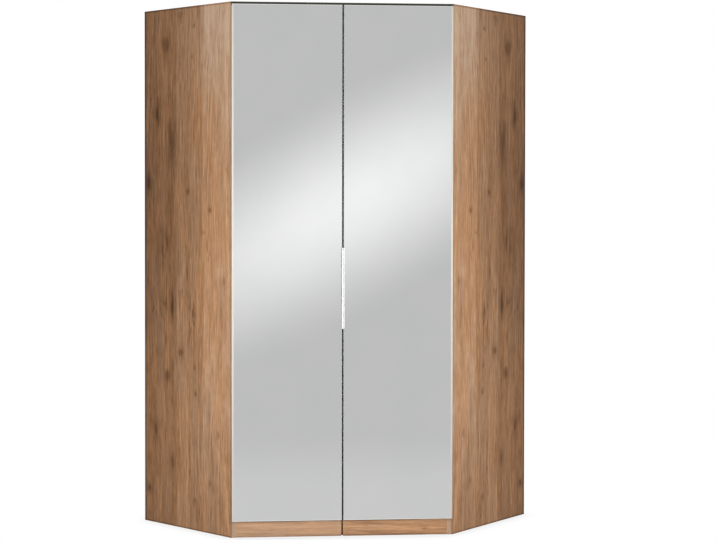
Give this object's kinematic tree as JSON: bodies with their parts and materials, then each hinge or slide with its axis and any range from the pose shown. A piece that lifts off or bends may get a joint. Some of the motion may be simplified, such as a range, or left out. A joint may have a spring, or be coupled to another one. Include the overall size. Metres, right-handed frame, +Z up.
{
  "type": "corner wardrobe",
  "caption": "Tall corner wardrobe with a diagonal front of mirror doors, oak-look side panels, a recessed plinth, and a hat shelf and hanging rail inside.",
  "frame": {"origin": "on the floor, at the middle of the footprint's bounding box", "axes": "+Z up, +Y towards the rear corner of the room, -Y out of the mirror doors, +X to the right seen from the front"},
  "size_m": [1.6334, 1.2224, 2.16],
  "materials": {
    "oak_decor": "plank oak foil, vertical grain, satin",
    "oak_plinth": "plank oak foil, level grain, satin",
    "inner_decor": "taupe linen foil, matt",
    "dark_edging": "dark taupe edging, matt",
    "raw_board": "bare particle board",
    "dark_board": "black-brown foil",
    "softwood": "planed softwood",
    "hardboard": "hardboard, taupe foil inside",
    "white_plastic": "off-white plastic",
    "grey_plastic": "grey plastic",
    "zinc_steel": "zinc plated",
    "nickel_steel": "nickel plated",
    "beech": "fluted beech",
    "chrome_tube": "chromed tube",
    "clear_rubber": "soft clear pad",
    "door_decor": "taupe linen foil, matt",
    "mirror_glass": "silvered float glass, polished edges",
    "foam_tape": "foam mounting tape",
    "trim_aluminium": "satin anodised",
    "handle_aluminium": "bright anodised"
  },
  "bodies": {
    "carcass": {"left_side_panel": "oak_decor", "right_side_panel": "oak_decor", "left_front_plinth": "oak_plinth", "right_front_plinth": "oak_plinth", "left_base_board": "inner_decor", "right_base_board": "inner_decor", "left_top_board": "inner_decor", "right_top_board": "inner_decor", "left_hat_shelf": "inner_decor", "right_hat_shelf": "inner_decor", "board_edge_bands": "dark_edging", "left_rear_plinth": "raw_board", "right_rear_plinth": "raw_board", "base_centre_rail": "dark_board", "rear_corner_post": "softwood", "left_back_sheet_outer": "hardboard", "right_back_sheet_outer": "hardboard", "left_back_sheet_inner": "hardboard", "right_back_sheet_inner": "hardboard", "back_joint_strips": "white_plastic", "back_nails": "zinc_steel", "cam_locks": "zinc_steel", "cam_bolts": "zinc_steel", "wood_dowels": "beech", "joint_plates": "zinc_steel", "connector_screws": "zinc_steel", "plinth_brackets": "white_plastic", "shelf_pins": "nickel_steel", "wall_brackets": "zinc_steel", "clothes_rail": "chrome_tube", "rail_end_caps": "grey_plastic", "rail_hangers": "grey_plastic", "fitting_screws": "zinc_steel", "door_bumpers": "clear_rubber", "hinge_plates": "nickel_steel", "hinge_plate_screws": "zinc_steel", "hinge_arms": "nickel_steel", "hinge_arm_screws": "zinc_steel"},
    "left_door": {"left_door_board": "door_decor", "left_mirror": "mirror_glass", "left_mirror_tape": "foam_tape", "left_edge_trim": "trim_aluminium", "left_handle": "handle_aluminium", "left_handle_screws": "zinc_steel", "left_hinge_cups": "nickel_steel", "left_hinge_pins": "nickel_steel", "left_cup_screws": "zinc_steel"},
    "right_door": {"right_door_board": "door_decor", "right_mirror": "mirror_glass", "right_mirror_tape": "foam_tape", "right_edge_trim": "trim_aluminium", "right_handle": "handle_aluminium", "right_handle_screws": "zinc_steel", "right_hinge_cups": "nickel_steel", "right_hinge_pins": "nickel_steel", "right_cup_screws": "zinc_steel"}
  },
  "joints": [
    {"name": "left_door_swing", "type": "hinge", "parent": "carcass", "child": "left_door", "pos_m": [-0.43843, -0.58118, 1.11], "axis": [0, 0, -1], "range_deg": [0, 95]},
    {"name": "right_door_swing", "type": "hinge", "parent": "carcass", "child": "right_door", "pos_m": [0.43843, -0.58118, 1.11], "axis": [0, 0, 1], "range_deg": [0, 95]}
  ]
}
